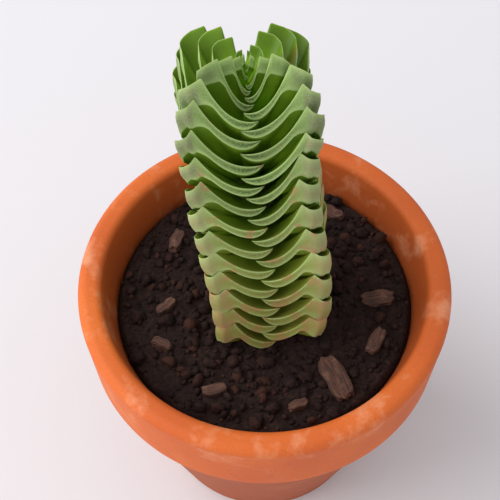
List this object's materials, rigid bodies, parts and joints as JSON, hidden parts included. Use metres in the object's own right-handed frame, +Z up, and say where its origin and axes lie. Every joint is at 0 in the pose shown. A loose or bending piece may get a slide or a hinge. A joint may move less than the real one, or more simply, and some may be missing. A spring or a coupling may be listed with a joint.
{
  "type": "potted crassula",
  "caption": "Square, tightly packed column of upturned succulent leaves, leaning slightly, in a plain terracotta pot with a collar, filled with dark soil and bark chips.",
  "frame": {"origin": "middle of the pot's foot, on the surface that the pot stands on", "axes": "+Z up along the pot's axis; -Y is the front, the side that the picture looks at from above; +X to that view's right"},
  "size_m": [0.11, 0.11, 0.1814],
  "materials": {
    "terracotta": "unglazed fired clay, matt with a faint sheen on the lip",
    "soil": "dark, damp, crumbly potting soil",
    "leaf": "waxy succulent leaf, frosted on its edges and outside",
    "bark": "weathered bark and wood chips"
  },
  "bodies": {
    "root": {"pot": "terracotta", "soil": "soil", "crassula": "leaf", "bark_chip_1": "bark", "bark_chip_2": "bark", "bark_chip_3": "bark", "bark_chip_4": "bark", "bark_chip_5": "bark", "bark_chip_6": "bark", "bark_chip_7": "bark", "bark_chip_8": "bark", "bark_chip_9": "bark"}
  },
  "joints": []
}
